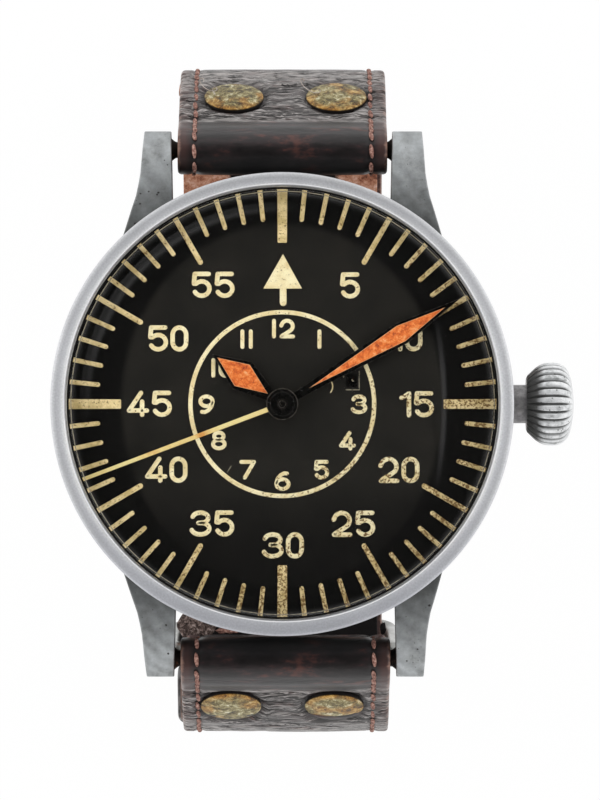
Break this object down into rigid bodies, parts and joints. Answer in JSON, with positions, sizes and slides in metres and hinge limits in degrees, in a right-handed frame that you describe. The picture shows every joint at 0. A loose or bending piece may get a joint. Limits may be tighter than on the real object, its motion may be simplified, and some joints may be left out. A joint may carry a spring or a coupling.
{
  "type": "pilot wristwatch",
  "caption": "Large observer-style pilot wristwatch on its buckled riveted leather strap, with a black dial, orange sword hands, a fluted crown and a full hand-wound movement.",
  "frame": {"origin": "on the hands' axis, on the flat surface that the back of the strap's closed loop lies on", "axes": "+X towards the crown (three o'clock), +Y towards twelve o'clock, +Z out of the dial through the crystal"},
  "size_m": [0.0626, 0.0821, 0.0569],
  "materials": {
    "steel_case": "satin, pitted by age",
    "bezel_steel": "satin grey with a bright inner chamfer",
    "acrylic": "clear, domed",
    "steel_inside": "fine grained",
    "crown_steel": "bright ribs, dark grooves",
    "dial_black": "matt black",
    "cream_paint": "aged cream paint",
    "hand_black": "matt black",
    "orange_lume": "aged orange lume",
    "cream_hand": "cream with orange stains",
    "brass_plate": "grey gilt",
    "brass_wheel": "gilt",
    "movement_steel": "polished",
    "blued_steel": "blued",
    "ruby": "clear red",
    "bar_steel": "near-black",
    "strap_leather": "brown-black, wrinkled and worn",
    "tan_leather": "tan",
    "rivet_brass": "aged olive brass with a green patina",
    "buckle_metal": "nickel grey, worn"
  },
  "bodies": {
    "case": {"case_middle": "steel_case", "bezel": "bezel_steel", "crystal": "acrylic", "tension_ring": "steel_inside", "case_back": "steel_case", "movement_ring": "brass_plate", "crown_tube": "steel_inside", "strap_bar_12": "bar_steel", "strap_bar_6": "bar_steel", "dial": "dial_black", "dial_markings": "cream_paint", "main_plate": "brass_plate", "barrel_bridge": "brass_plate", "train_bridge": "brass_plate", "balance_cock": "brass_plate", "pallet_cock": "brass_plate", "hairspring": "blued_steel", "click_spring": "movement_steel", "bridge_screws": "blued_steel", "jewels": "ruby", "case_clamps": "movement_steel", "strap_12": "strap_leather", "lining_12": "tan_leather", "strap_6": "strap_leather", "lining_6": "tan_leather", "rivets_12": "rivet_brass", "rivets_6": "rivet_brass", "buckle_bar": "buckle_metal", "keeper": "strap_leather"},
    "seconds": {"fourth_wheel": "brass_wheel", "seconds_hand": "cream_hand"},
    "minutes": {"centre_wheel": "brass_wheel", "cannon_pinion": "movement_steel", "minute_hand": "hand_black", "minute_lume": "orange_lume"},
    "hours": {"hour_wheel": "brass_wheel", "hour_hand": "hand_black", "hour_lume": "orange_lume"},
    "third": {"third_wheel": "brass_wheel"},
    "escape": {"escape_wheel": "movement_steel"},
    "barrel": {"mainspring_barrel": "brass_wheel", "barrel_cover": "brass_wheel", "mainspring": "blued_steel"},
    "motion": {"minute_wheel": "brass_wheel"},
    "winding": {"winding_pinion": "movement_steel", "sliding_pinion": "movement_steel"},
    "crown": {"crown": "crown_steel", "winding_stem": "movement_steel"},
    "crown_gear": {"crown_wheel": "movement_steel"},
    "ratchet": {"ratchet_wheel": "movement_steel", "barrel_arbor": "movement_steel"},
    "lever": {"setting_lever": "movement_steel"},
    "balance": {"balance_wheel": "brass_wheel"},
    "pallet": {"pallet_fork": "movement_steel", "pallet_stones": "ruby"},
    "click": {"click": "movement_steel"},
    "index": {"regulator": "movement_steel"},
    "buckle": {"buckle_frame": "buckle_metal"},
    "tongue": {"buckle_tongue": "buckle_metal"}
  },
  "joints": [
    {"name": "seconds_turn", "type": "hinge", "parent": "case", "child": "seconds", "pos_m": [0, 0, 0.04467], "axis": [0, 0, -1], "continuous": true},
    {"name": "minute_turn", "type": "hinge", "parent": "case", "child": "minutes", "pos_m": [0, 0, 0.04717], "axis": [0, 0, -1], "continuous": true},
    {"name": "hour_turn", "type": "hinge", "parent": "case", "child": "hours", "pos_m": [0, 0, 0.0491], "axis": [0, 0, -1], "continuous": true},
    {"name": "third_turn", "type": "hinge", "parent": "case", "child": "third", "pos_m": [-0.00772, -0.00178, 0.04547], "axis": [0, 0, -1], "continuous": true},
    {"name": "escape_turn", "type": "hinge", "parent": "case", "child": "escape", "pos_m": [0.00431, -0.00664, 0.04587], "axis": [0, 0, -1], "continuous": true},
    {"name": "barrel_turn", "type": "hinge", "parent": "case", "child": "barrel", "pos_m": [0.00623, 0.00997, 0.0458], "axis": [0, 0, -1], "continuous": true},
    {"name": "minute_wheel_turn", "type": "hinge", "parent": "case", "child": "motion", "pos_m": [0.00346, -0.002, 0.0484], "axis": [0, 0, -1], "continuous": true},
    {"name": "winding_turn", "type": "hinge", "parent": "case", "child": "winding", "pos_m": [0.021, 0, 0.04587], "axis": [1, 0, 0], "continuous": true},
    {"name": "crown_pull", "type": "slide", "parent": "winding", "child": "crown", "axis": [1, 0, 0], "range_m": [0, 0.0012]},
    {"name": "crown_wheel_turn", "type": "hinge", "parent": "case", "child": "crown_gear", "pos_m": [0.017, 0, 0.04272], "axis": [0, 0, 1], "continuous": true},
    {"name": "ratchet_turn", "type": "hinge", "parent": "case", "child": "ratchet", "pos_m": [0.00623, 0.00997, 0.04272], "axis": [0, 0, 1], "continuous": true},
    {"name": "setting_lever_turn", "type": "hinge", "parent": "case", "child": "lever", "pos_m": [0.0214, 0.006, 0.04857], "axis": [0, 0, 1], "range_deg": [0, 11.46]},
    {"name": "balance_turn", "type": "hinge", "parent": "case", "child": "balance", "pos_m": [-0.003, -0.01346, 0.0438], "axis": [0, 0, 1], "range_deg": [-270, 270]},
    {"name": "pallet_turn", "type": "hinge", "parent": "case", "child": "pallet", "pos_m": [0.00093, -0.00979, 0.04587], "axis": [0, 0, 1], "range_deg": [-5, 5]},
    {"name": "click_turn", "type": "hinge", "parent": "case", "child": "click", "pos_m": [-0.00253, 0.01733, 0.04272], "axis": [0, 0, 1], "range_deg": [0, 12]},
    {"name": "regulator_turn", "type": "hinge", "parent": "case", "child": "index", "pos_m": [-0.003, -0.01346, 0.04182], "axis": [0, 0, 1], "range_deg": [-12, 12]},
    {"name": "buckle_frame_turn", "type": "hinge", "parent": "case", "child": "buckle", "pos_m": [0, -0.03169, 0.01122], "axis": [-1, 0, 0], "range_deg": [0, 4]},
    {"name": "buckle_tongue_turn", "type": "hinge", "parent": "buckle", "child": "tongue", "pos_m": [0, -0.03169, 0.01122], "axis": [-1, 0, 0], "range_deg": [0, 3]}
  ],
  "couplings": [
    {"joint": "minute_turn", "follows": "seconds_turn", "ratio": 0.016667},
    {"joint": "hour_turn", "follows": "seconds_turn", "ratio": 0.0013889},
    {"joint": "third_turn", "follows": "seconds_turn", "ratio": -0.13333},
    {"joint": "escape_turn", "follows": "seconds_turn", "ratio": -10},
    {"joint": "barrel_turn", "follows": "seconds_turn", "ratio": -0.0027778},
    {"joint": "minute_wheel_turn", "follows": "seconds_turn", "ratio": -0.0055556},
    {"joint": "crown_wheel_turn", "follows": "winding_turn", "ratio": 0.57143},
    {"joint": "ratchet_turn", "follows": "winding_turn", "ratio": -0.33333},
    {"joint": "setting_lever_turn", "follows": "crown_pull", "rad_per_m": 166.67}
  ]
}
